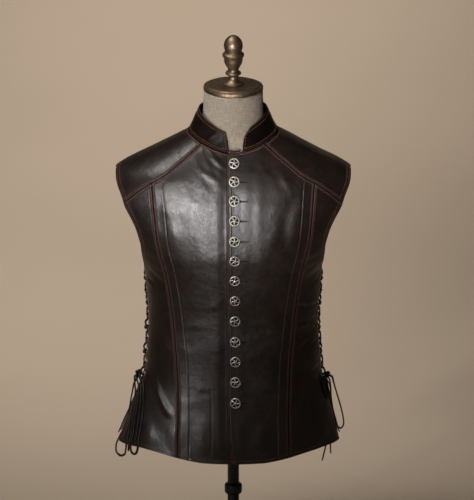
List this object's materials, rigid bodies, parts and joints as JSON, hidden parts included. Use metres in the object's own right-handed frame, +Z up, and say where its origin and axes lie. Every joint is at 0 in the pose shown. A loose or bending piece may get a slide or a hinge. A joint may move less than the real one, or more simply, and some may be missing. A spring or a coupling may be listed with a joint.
{
  "type": "leather renaissance vest on a counter-top dress form",
  "caption": "Sleeveless side-laced leather vest with a standing collar and a buttoned front, worn by a limbless linen dress form on a round pole base.",
  "frame": {"origin": "centre of the round base's underside, on the floor", "axes": "+Z up along the pole, the vest's front faces -Y, the wearer's left is +X"},
  "size_m": [0.4739, 0.32, 1.0986],
  "materials": {
    "leather": "dark brown-black waxed cowhide, soft sheen, reddish-brown topstitching",
    "lace_leather": "black-brown round leather lace, satin",
    "linen": "greige plain-weave linen, matte",
    "antique_bronze": "turned, aged to a dark bronze, satin",
    "antique_silver": "cast openwork, antiqued: bright on the rims, black in the recesses",
    "black_iron": "black enamel, satin"
  },
  "bodies": {
    "root": {"front_centre_left": "leather", "front_centre_right": "leather", "front_side_left": "leather", "front_side_right": "leather", "back_centre": "leather", "back_side_left": "leather", "back_side_right": "leather", "yoke_left": "leather", "yoke_right": "leather", "collar": "leather", "button_01": "antique_silver", "button_02": "antique_silver", "button_03": "antique_silver", "button_04": "antique_silver", "button_05": "antique_silver", "button_06": "antique_silver", "button_07": "antique_silver", "button_08": "antique_silver", "button_09": "antique_silver", "button_10": "antique_silver", "button_11": "antique_silver", "button_12": "antique_silver", "button_13": "antique_silver", "lacing_right_a": "lace_leather", "lacing_right_b": "lace_leather", "lacing_left_a": "lace_leather", "lacing_left_b": "lace_leather", "knot_right": "lace_leather", "knot_left": "lace_leather", "loop_right_1": "lace_leather", "loop_right_2": "lace_leather", "loop_left_1": "lace_leather", "loop_left_2": "lace_leather", "tail_right_1": "lace_leather", "tail_right_2": "lace_leather", "tail_left_1": "lace_leather", "tail_left_2": "lace_leather", "form_body": "linen", "neck_cap": "antique_bronze", "finial": "antique_bronze", "pole": "black_iron", "pole_collar": "black_iron", "pole_lower": "black_iron", "base": "black_iron"}
  },
  "joints": []
}
